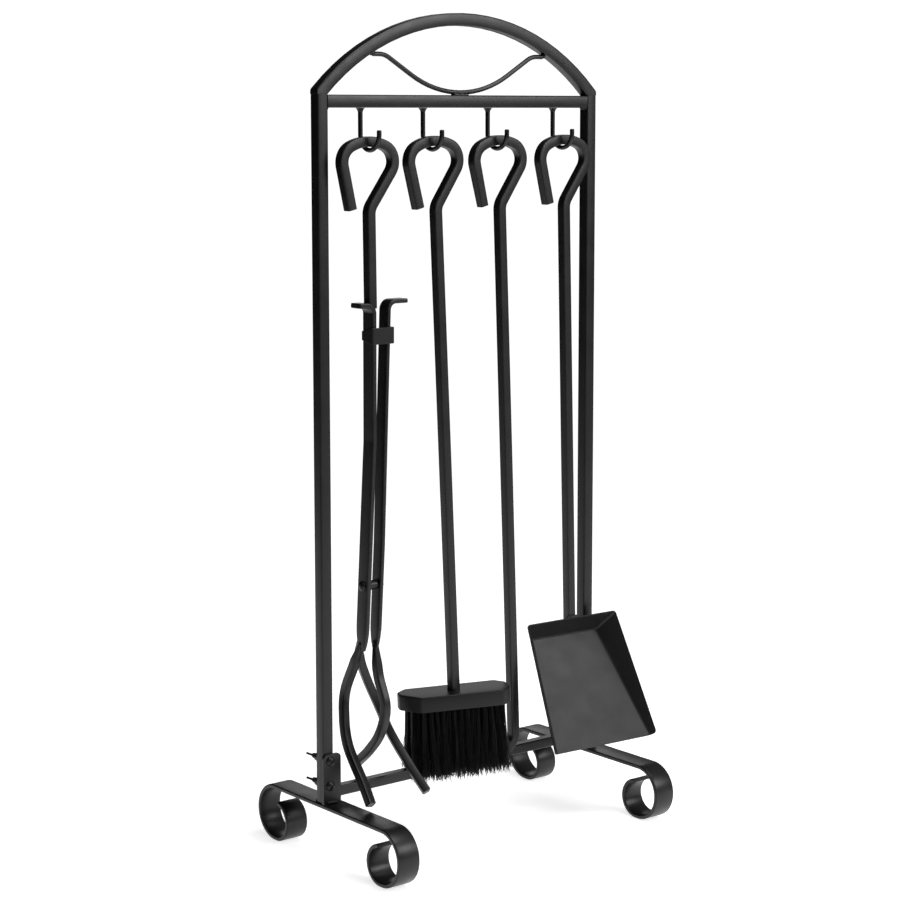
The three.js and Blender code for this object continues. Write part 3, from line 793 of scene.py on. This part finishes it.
def strand(vertices, faces, points, radius):
    """A thin three-sided bristle through the points, tapering to its tip."""
    first = len(vertices)
    last = len(points) - 1
    for index, point in enumerate(points):
        thick = radius * (1 - 0.45 * index / last)
        for side in range(3):
            angle = 2 * math.pi * side / 3
            x, y = thick * math.cos(angle), thick * math.sin(angle)
            vertices.append((point[0] + x, point[1] + y, point[2]))
    for index in range(last):
        for side in range(3):
            a = first + 3 * index + side
            b = first + 3 * index + (side + 1) % 3
            faces.append((a, b, b + 3, a + 3))
    faces.append((first + 2, first + 1, first))
    faces.append((first + 3 * last, first + 3 * last + 1, first + 3 * last + 2))


def bristles():
    """Tufts of strands that spread and wander as they hang, kept clear of the lower crossbar."""
    dice = random.Random(8)
    length, depth, height = HEAD_SIZE
    root_height = HEAD_TOP - height + 0.6 * MM
    turn = Matrix.Rotation(math.radians(HEAD_TURN), 3, "Z")
    bar_front = -LOW_BAR / 2 - 0.8 * MM - TOOL_PLANE
    bar_top = LOW_BAR_TOP + 1.5 * MM - HANG_HEIGHT
    vertices, faces = [], []
    for tuft_x, tuft_y in tuft_places(length - 9 * MM, depth - 10 * MM, dice):
        lean_x, lean_y = dice.gauss(0, TUFT_LEAN_ACROSS), dice.gauss(0, TUFT_LEAN_DEEP)
        tuft_wave, tuft_phase = dice.gauss(0, TUFT_WAVE), dice.uniform(0, 2 * math.pi)
        left_flare = -7 * MM * max(0, -tuft_x / length * 2 - 0.55) ** 2 * 4
        for _ in range(STRANDS_PER_TUFT):
            angle, ring = dice.uniform(0, 2 * math.pi), math.sqrt(dice.random())
            across, along = ring * math.cos(angle), ring * math.sin(angle)
            root = (tuft_x + TUFT_RADIUS * across, tuft_y + TUFT_RADIUS * along)
            stray_x, stray_y = dice.gauss(0, STRAND_STRAY), dice.gauss(0, STRAND_STRAY)
            spread_x = lean_x + left_flare + TUFT_SPREAD * across + stray_x + 0.035 * tuft_x
            spread_y = lean_y + TUFT_SPREAD * along + stray_y + 0.045 * tuft_y
            wave, phase = dice.gauss(0, STRAND_WAVE), dice.uniform(0, 2 * math.pi)
            reach = BRISTLE_LENGTH * dice.uniform(0.9, 1.0) - abs(dice.gauss(0, TIP_UNEVENNESS))
            points = []
            for step in range(STRAND_STEPS + 1):
                t = step / STRAND_STEPS
                sway = wave * math.sin(phase + 5 * t) + tuft_wave * math.sin(tuft_phase + 4 * t)
                x = root[0] + spread_x * t ** 1.4 + sway * t
                y = root[1] + spread_y * t ** 1.4 + wave * math.cos(phase + 4 * t) * t
                points.append(turn @ Vector((x, y, root_height - reach * t)) + Vector((SHAFT_X, 0, 0)))
            strand(vertices, faces, over_the_bar(points, bar_front, bar_top), STRAND_RADIUS)
    mesh = bpy.data.meshes.new("brush_bristle_tufts")
    mesh.from_pydata(vertices, [], faces)
    mesh.materials.append(COATS["bristle_black"])
    piece = bpy.data.objects.new("brush_bristle_tufts", mesh)
    bpy.context.scene.collection.objects.link(piece)
    hang(piece, "brush", "brush_bristles")


def over_the_bar(points, bar_front, bar_top):
    """Leads a strand in front of the crossbar, or stops it on top of the bar if it is too far back."""
    near = bar_top + 20 * MM
    within_reach = 9 * MM
    in_front = max(point.y for point in points) - bar_front < within_reach
    kept = []
    for point in points:
        depth_behind = point.y - bar_front
        if depth_behind > 0 and point.z < near:
            if in_front:
                led = min(1, (near - point.z) / LEAD_HEIGHT)
                point = Vector((point.x, point.y - depth_behind * led, point.z))
            elif point.z < bar_top:
                point = Vector((point.x, point.y, bar_top + 0.01 * (point.z - bar_top)))
        kept.append(point)
    return kept


def brush():
    frames = plane_frames(loop_handle(HEAD_TOP), "xz")
    shaft = sweep("brush_shaft_bar", bar_section, frames, "tool_black")
    hang(shaft, "brush", "brush_shaft")
    collar("brush_collar", 9 * MM, HEAD_TOP, BAR / 2 + 0.9 * MM, "brush")
    brush_head()
    bristles()


def poker():
    """One bar, cranked at its end and forged to a point."""
    stations = loop_handle(POKER_CRANK, [bend(13 * MM, -53), run(6 * MM)])
    point_length = 26 * MM
    blunt = 0.1
    steps = 10
    frames = plane_frames(stations, "xz")
    end, across, side = frames[-1]
    along = side.cross(across).normalized()
    if along.z > 0:
        along = -along
    rings = [[p + u * x + v * y for x, y in bar_section] for p, u, v in frames[1:]]
    first, first_u, first_v = frames[0]
    rings.insert(0, [first + first_u * x + first_v * y for x, y in broken_edge(bar_section, 0.5 * MM)])
    for step in range(1, steps + 1):
        t = step / steps
        factor = max(1 - 0.86 * t ** 1.15, blunt)
        here = end + along * point_length * t
        rings.append([here + (across * x + side * y) * factor for x, y in bar_section])
    hang(skin("poker_forged_bar", rings, "tool_black"), "poker", "poker_bar")


# ------------------------ shovel
PAN_BACK = 80 * MM
PAN_MOUTH = 116 * MM
PAN_LENGTH = 122 * MM
PAN_BACK_HEIGHT = 24.7 * MM
PAN_MOUTH_HEIGHT = 6.5 * MM
PAN_BACK_LEAN = 7.3 * MM
PAN_FLARE = 0.61
PAN_SHEET = 1.4 * MM
PAN_CORNER = 3 * MM
PAN_FOLD_WIDTH = 2.6 * MM
PAN_TILT = math.radians(35)
PAN_TURN = math.radians(-7.5)
PAN_FOLD = Vector((SHAFT_X, 9.5 * MM, -503.5 * MM))
SHOVEL_SHAFT_END = -512 * MM


def pan_axes():
    """The pan's own axes: across it, along it from the back fold to the mouth, and out of its floor."""
    forward = Vector((math.sin(PAN_TURN), -math.cos(PAN_TURN), 0))
    along = -UP * math.cos(PAN_TILT) + forward * math.sin(PAN_TILT)
    out = forward * math.cos(PAN_TILT) + UP * math.sin(PAN_TILT)
    return Matrix.Translation(PAN_FOLD) @ Matrix((along.cross(out), along, out)).transposed().to_4x4()


def pan():
    """Sheet folded up at the back and sides, the folds rounded and the sheet thickened."""
    widen = (PAN_MOUTH - PAN_BACK) / 2 / PAN_LENGTH

    def corner(side, y, z):
        return side * (PAN_BACK / 2 + widen * y + PAN_FLARE * z), y, z

    points = [
        corner(-1, 0, 0), corner(1, 0, 0), corner(1, PAN_LENGTH, 0), corner(-1, PAN_LENGTH, 0),
        corner(-1, -PAN_BACK_LEAN, PAN_BACK_HEIGHT), corner(1, -PAN_BACK_LEAN, PAN_BACK_HEIGHT),
        corner(1, PAN_LENGTH, PAN_MOUTH_HEIGHT), corner(-1, PAN_LENGTH, PAN_MOUTH_HEIGHT),
    ]
    faces = [(0, 1, 2, 3), (0, 4, 5, 1), (1, 5, 6, 2), (0, 3, 7, 4)]
    mesh = bpy.data.meshes.new("shovel_pan_sheet")
    mesh.from_pydata(points, [], faces)
    work = bmesh.new()
    work.from_mesh(mesh)
    work.edges.ensure_lookup_table()
    loose = [vertex for vertex in work.verts if len(vertex.link_faces) == 1]
    mouth_corners = [vertex for vertex in loose if vertex.co.z > 0]
    bmesh.ops.bevel(
        work, geom=mouth_corners, offset=PAN_CORNER, segments=4, affect="VERTICES", profile=0.5,
    )
    folds = [edge for edge in work.edges if len(edge.link_faces) == 2]
    bmesh.ops.bevel(work, geom=folds, offset=PAN_FOLD_WIDTH, segments=4, affect="EDGES", profile=0.5)
    bmesh.ops.recalc_face_normals(work, faces=work.faces)
    work.to_mesh(mesh)
    work.free()
    mesh.polygons.foreach_set("use_smooth", [True] * len(mesh.polygons))
    mesh.materials.append(COATS["pan_black"])
    mesh.transform(pan_axes())
    piece = bpy.data.objects.new("shovel_pan_sheet", mesh)
    bpy.context.scene.collection.objects.link(piece)
    thicken = piece.modifiers.new("sheet", "SOLIDIFY")
    thicken.thickness = PAN_SHEET
    thicken.offset = 0
    thicken.use_even_offset = True
    bevel(piece, 0.45 * MM)
    hang(piece, "shovel", "shovel_pan")


def shovel():
    """The shaft cut off along the pan's back wall and welded to it all round."""
    frames = plane_frames(loop_handle(SHOVEL_SHAFT_END), "xz")
    shaft = sweep("shovel_shaft_bar", bar_section, frames, "tool_black")
    axes = pan_axes()
    wall_tilt = math.atan2(PAN_BACK_LEAN, PAN_BACK_HEIGHT)
    away = (axes.to_3x3() @ Vector((0, -math.cos(wall_tilt), -math.sin(wall_tilt)))).normalized()
    on_wall = axes @ Vector((0, -0.5 * PAN_SHEET, 0))
    trim(shaft, on_wall, -away)
    hang(shaft, "shovel", "shovel_shaft")

    # The weld runs round the bar where it lands on the sloping back wall.
    reach = BAR / 2 + 0.7 * MM
    loop = []
    for x, y in ((-1, -1), (0, -1), (1, -1), (1, 0), (1, 1), (0, 1), (-1, 1), (-1, 0), (-1, -1)):
        foot = Vector((SHAFT_X + x * reach, y * reach, 0))
        drop = (on_wall - foot).dot(away) / away.z
        loop.append(Vector((foot.x, foot.y, drop + 1.3 * MM)))
    hang(weld_bead("shovel_weld", loop, 1.6 * MM, "tool_black", 3), "shovel")


# ------------------------ tongs
# The legs hang upright in the stand's axes, so they are placed without the handle's lean.
TONGS_HANDLE_END = -154.5 * MM
HORN_BEND = 8 * MM
KNEE_BEND = 1 * MM
PIVOT_HEIGHT = middle("tongs_rivet", 2)
LEG_PLANE = middle("tongs_rivet", 1)
CROTCH = 200 * MM
PRONG = 8.2 * MM
PRONG_OVERLAP = 8 * MM
PRONG_ROOT = 0.44                             # a prong's section where it starts, scaled
PRONG_GROWTH = 0.09                           # and how much it gains at each step
RIVET_PLAY = 0.9 * MM
LEG_DRAWN_OUT = [0.97, 0.88, 0.74, 0.55]      # the leg's section over its last stations, scaled
DRAWN_STEP = 6 * MM


def leg_shape(node, horn_x, horn_run, slant, knee, knee_turn, thick, width):
    """A flat leg: where its horn starts, how it slants, and the knee where it bends a little more."""
    horn = (horn_x, span(node, 2)[1] - thick / 2)
    to_knee = (horn[1] - HORN_BEND - knee) / math.cos(math.radians(slant))
    to_crotch = (knee - CROTCH) / math.cos(math.radians(slant + knee_turn))
    way = 1 if horn_run > 0 else -1
    turn = -(90 + slant) if way > 0 else 90 - slant
    drawn = [run(DRAWN_STEP)] * len(LEG_DRAWN_OUT)
    plain = run(to_crotch - DRAWN_STEP * len(LEG_DRAWN_OUT))
    horn_moves = [run(abs(horn_run)), bend(HORN_BEND, turn)]
    moves = [*horn_moves, run(to_knee), bend(KNEE_BEND, -knee_turn), plain, *drawn]
    return {"stations": route(horn, 0 if way > 0 else 180, moves), "thick": thick, "width": width}


FIXED_LEG = leg_shape(
    "tongs_fixed_leg", horn_x=HOOKS[0] - 17.5 * MM, horn_run=8.3 * MM, slant=0.2,
    knee=400 * MM, knee_turn=2.9, thick=4.8 * MM, width=16 * MM,
)
ARM = leg_shape(
    "tongs_arm", horn_x=span("tongs_arm", 0)[1], horn_run=-14 * MM, slant=2.1,
    knee=300 * MM, knee_turn=1.1, thick=4.2 * MM, width=14 * MM,
)


def tongs_piece(piece, body, *nodes):
    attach(piece, body)
    if nodes:
        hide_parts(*nodes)
    return piece


def leg_bar(name, leg):
    """A leg's flat bar, bent into its horn above and drawn out where its prongs start."""
    section = rounded_rect(leg["thick"], leg["width"], 1.1 * MM)
    frames = [(p + Vector((0, LEG_PLANE, 0)), u, v) for p, u, v in plane_frames(leg["stations"], "xz")]
    factors = [1] * (len(frames) - len(LEG_DRAWN_OUT)) + LEG_DRAWN_OUT
    return sweep(name, section, frames, "tool_black", factors, edge=0.7 * MM)


def prong(name, points):
    """A square prong through points in millimetres, cut off straight at its tip."""
    frames = curve_frames([Vector(point) * MM for point in points], Vector((1, 0, 0)), 48)
    factors = [min(1, PRONG_ROOT + PRONG_GROWTH * index) for index in range(len(frames))]
    return sweep(name, rounded_rect(PRONG, PRONG, 1.4 * MM), frames, "tool_black", factors, edge=0.7 * MM)


def tongs():
    """Two legs held by a rivet and a strap: one with the handle and a fork, one with a single prong."""
    root = (CROTCH + PRONG_OVERLAP) / MM
    fixed_x = FIXED_LEG["stations"][-1][0] / MM
    arm_x = ARM["stations"][-1][0] / MM
    plane = LEG_PLANE / MM
    middle_x = -114.5

    # Half the width between the fork's two prongs, with their depth and height, from the bow downwards.
    spread = ((20.1, 10.5, 137), (26.2, -3.7, 108), (30, -33, 78), (33.3, -50, 61))
    left_tips = [(middle_x - half, y, z) for half, y, z in spread]
    right_tips = [(middle_x + half, y, z) for half, y, z in spread]
    left = [(fixed_x, plane + 0.5, root), (fixed_x, -1, 183), (-131, 12, 158), *left_tips]
    right = [(fixed_x, plane + 5, root), (-120, 4, 187), (-105, 13, 162), *right_tips]
    single = [
        (arm_x, plane, root), (middle_x, -18, 175), (middle_x, -29, 146),
        (middle_x, -21, 119), (middle_x, -2.8, 97.5), (middle_x, 20, 78.5),
    ]
    tongs_piece(leg_bar("tongs_fixed_leg_bar", FIXED_LEG), "tongs", "tongs_fixed_leg")
    tongs_piece(prong("tongs_left_prong", left), "tongs")
    tongs_piece(prong("tongs_right_prong", right), "tongs")
    tongs_piece(leg_bar("tongs_arm_bar", ARM), "tongs_moving_arm", "tongs_arm")
    tongs_piece(prong("tongs_arm_prong", single), "tongs_moving_arm")
    frames = plane_frames(loop_handle(TONGS_HANDLE_END), "xz")
    hang(sweep("tongs_handle_bar", bar_section, frames, "tool_black"), "tongs", "tongs_handle")
    tongs_rivet()
    tongs_strap()


def tongs_rivet():
    """Domed heads outside both legs, and a shoulder between them."""
    low, high = span("tongs_rivet", 0)
    head = size("tongs_rivet", 2) / 2
    dome = 2.5 * MM
    shank, shoulder = 2.4 * MM, 4.5 * MM
    inner_left, inner_right = low + dome, high - dome
    past_fixed = inner_left + (FIXED_LEG["thick"] + RIVET_PLAY)
    past_arm = inner_right - (ARM["thick"] + RIVET_PLAY)
    quarter = [math.radians(degrees) for degrees in range(0, 91, 10)]
    profile = [(head * math.sin(angle), low + dome * (1 - math.cos(angle))) for angle in quarter]
    profile += [(shank, inner_left), (shank, past_fixed), (shoulder, past_fixed)]
    profile += [(shoulder, past_arm), (shank, past_arm), (shank, inner_right)]
    profile += [(head * math.cos(angle), high - dome * (1 - math.sin(angle))) for angle in quarter]
    piece = lathe("tongs_rivet_domed", profile, "tool_black", 28)
    lie_across = Matrix.Rotation(math.radians(-90), 4, "Z")
    piece.data.transform(Matrix.Translation((0, LEG_PLANE, PIVOT_HEIGHT)) @ lie_across)
    tongs_piece(piece, "tongs", "tongs_rivet")


STRAP_POINT = 3.5 * MM    # taken off above and below at the strap's pointed end


def tongs_strap():
    """A strap bent round the fixed leg and across the arm, its end cut to a point."""
    low, high = span("tongs_strap", 2)
    sheet = 1.5 * MM
    left = span("tongs_strap", 0)[0] + sheet / 2
    right = span("tongs_strap", 0)[1] - sheet / 2
    front = span("tongs_strap", 1)[0] + sheet / 2
    back = span("tongs_strap", 1)[1]
    corner = 1.6 * MM
    lip = 6 * MM
    steps = 6

    def turn(centre_x, from_degrees):
        """Points round a corner of the strap, seen from above."""
        angles = [math.radians(from_degrees + 90 * step / steps) for step in range(1, steps + 1)]
        return [
            Vector((centre_x + corner * math.cos(angle), front + corner + corner * math.sin(angle), 0))
            for angle in angles
        ]

    flat = [Vector((left, back, 0)), Vector((left, front + corner, 0)), *turn(left + corner, 180)]
    flat += [Vector((right - corner, front, 0)), *turn(right - corner, 270)]
    flat.append(Vector((right, front + lip, 0)))
    rings = []
    for index, point in enumerate(flat):
        tangent = (flat[min(index + 1, len(flat) - 1)] - flat[max(index - 1, 0)]).normalized()
        out = Vector((tangent.y, -tangent.x, 0)) * sheet / 2
        pinch = STRAP_POINT if index == 0 else 0
        rings.append([
            point + out + UP * (low + pinch), point - out + UP * (low + pinch),
            point - out + UP * (high - pinch), point + out + UP * (high - pinch),
        ])
    tongs_piece(bevel(skin("tongs_strap_bent", rings, "tool_black"), 0.35 * MM), "tongs", "tongs_strap")


# ------------------------ floor, light and camera
def studio():
    """A pale floor in a white room, and soft light from the front right, from above and behind."""
    bpy.ops.mesh.primitive_plane_add(size=3, location=(0, 0, -0.4 * MM))
    floor = bpy.context.object
    floor.name = "floor"
    material, _, _, main = shader("floor_white")
    main.inputs["Base Color"].default_value = (0.9, 0.9, 0.9, 1)
    main.inputs["Roughness"].default_value = 0.9
    main.inputs["Specular IOR Level"].default_value = 0.05
    main.inputs["Emission Color"].default_value = (1, 1, 1, 1)
    main.inputs["Emission Strength"].default_value = 0.74
    floor.data.materials.append(material)
    soft_room()
    set_middle = Vector((0, 0, 0.4))
    for name, location, size_m, power in (
        ("key_panel", (1.3, -1.9, 1.35), 0.9, 25),
        ("top_panel", (0.2, -0.5, 1.8), 1.0, 18),
        ("back_panel", (1.3, 1.7, 1.0), 0.8, 3),
    ):
        lamp = bpy.data.lights.new(name, "AREA")
        lamp.size = size_m
        lamp.energy = power
        holder = bpy.data.objects.new(name, lamp)
        holder.location = location
        towards_the_set = set_middle - Vector(location)
        holder.rotation_euler = towards_the_set.to_track_quat("-Z", "Y").to_euler()
        bpy.context.scene.collection.objects.link(holder)


def soft_room():
    """A world that looks white and lights the set unevenly, as a room with one bright side does."""
    world = bpy.data.worlds.new("soft_room")
    world.use_nodes = True
    nodes, links = world.node_tree.nodes, world.node_tree.links
    seen = nodes["Background"]
    seen.inputs["Color"].default_value = (1, 1, 1, 1)
    seen.inputs["Strength"].default_value = 1.05
    lighting = nodes.new("ShaderNodeBackground")
    direction = nodes.new("ShaderNodeTexCoord")
    towards = nodes.new("ShaderNodeVectorMath")
    towards.operation = "DOT_PRODUCT"
    towards.inputs[1].default_value = Vector((0.6, -0.72, 0.35)).normalized()
    links.new(direction.outputs["Generated"], towards.inputs[0])
    strength = nodes.new("ShaderNodeMapRange")
    strength.interpolation_type = "SMOOTHSTEP"
    strength.inputs["From Min"].default_value = -0.5
    strength.inputs["From Max"].default_value = 0.95
    strength.inputs["To Min"].default_value = 0.02
    strength.inputs["To Max"].default_value = 0.3
    links.new(towards.outputs["Value"], strength.inputs["Value"])
    links.new(strength.outputs["Result"], lighting.inputs["Strength"])
    rays = nodes.new("ShaderNodeLightPath")
    choose = nodes.new("ShaderNodeMixShader")
    links.new(rays.outputs["Is Camera Ray"], choose.inputs["Fac"])
    links.new(lighting.outputs["Background"], choose.inputs[1])
    links.new(seen.outputs["Background"], choose.inputs[2])
    links.new(choose.outputs["Shader"], nodes["World Output"].inputs["Surface"])
    bpy.context.scene.world = world
    bpy.context.scene.view_settings.view_transform = "Standard"


def camera():
    """In front and to the left of the set, near its top, looking slightly down at all of it."""
    data = bpy.data.cameras.new("camera")
    data.sensor_width = 36
    data.lens = 89.06
    data.shift_y = -0.05
    holder = bpy.data.objects.new("camera", data)
    holder.location = (-1.3516, -1.6755, 0.7047)
    turn, down, roll = math.radians(-38.64), math.radians(7.474), math.radians(0.059)
    holder.rotation_euler = (math.radians(90) - down, roll, turn)
    bpy.context.scene.collection.objects.link(holder)
    bpy.context.scene.camera = holder


def finish_cad_nodes():
    """Coats every CAD node, and rounds the edges of the two kinds that are shown as they are."""
    slots = {part["node"]: part["material_slot"] for part in frame["record"]["subparts"]}
    for name, node in frame["nodes"].items():
        node.data.materials.clear()
        node.data.materials.append(COATS[slots[name]])
        if name.endswith("wing_nut") or name.endswith("bracket_plate"):
            node.data.polygons.foreach_set("use_smooth", [True] * len(node.data.polygons))
            bevel(node, 0.45 * MM)


finish_cad_nodes()
posts()
crossbars()
arch()
wave_rod()
hooks()
feet()
post_welds()
bracket_welds()
screws()
brush()
poker()
pan()
shovel()
tongs()
studio()
camera()
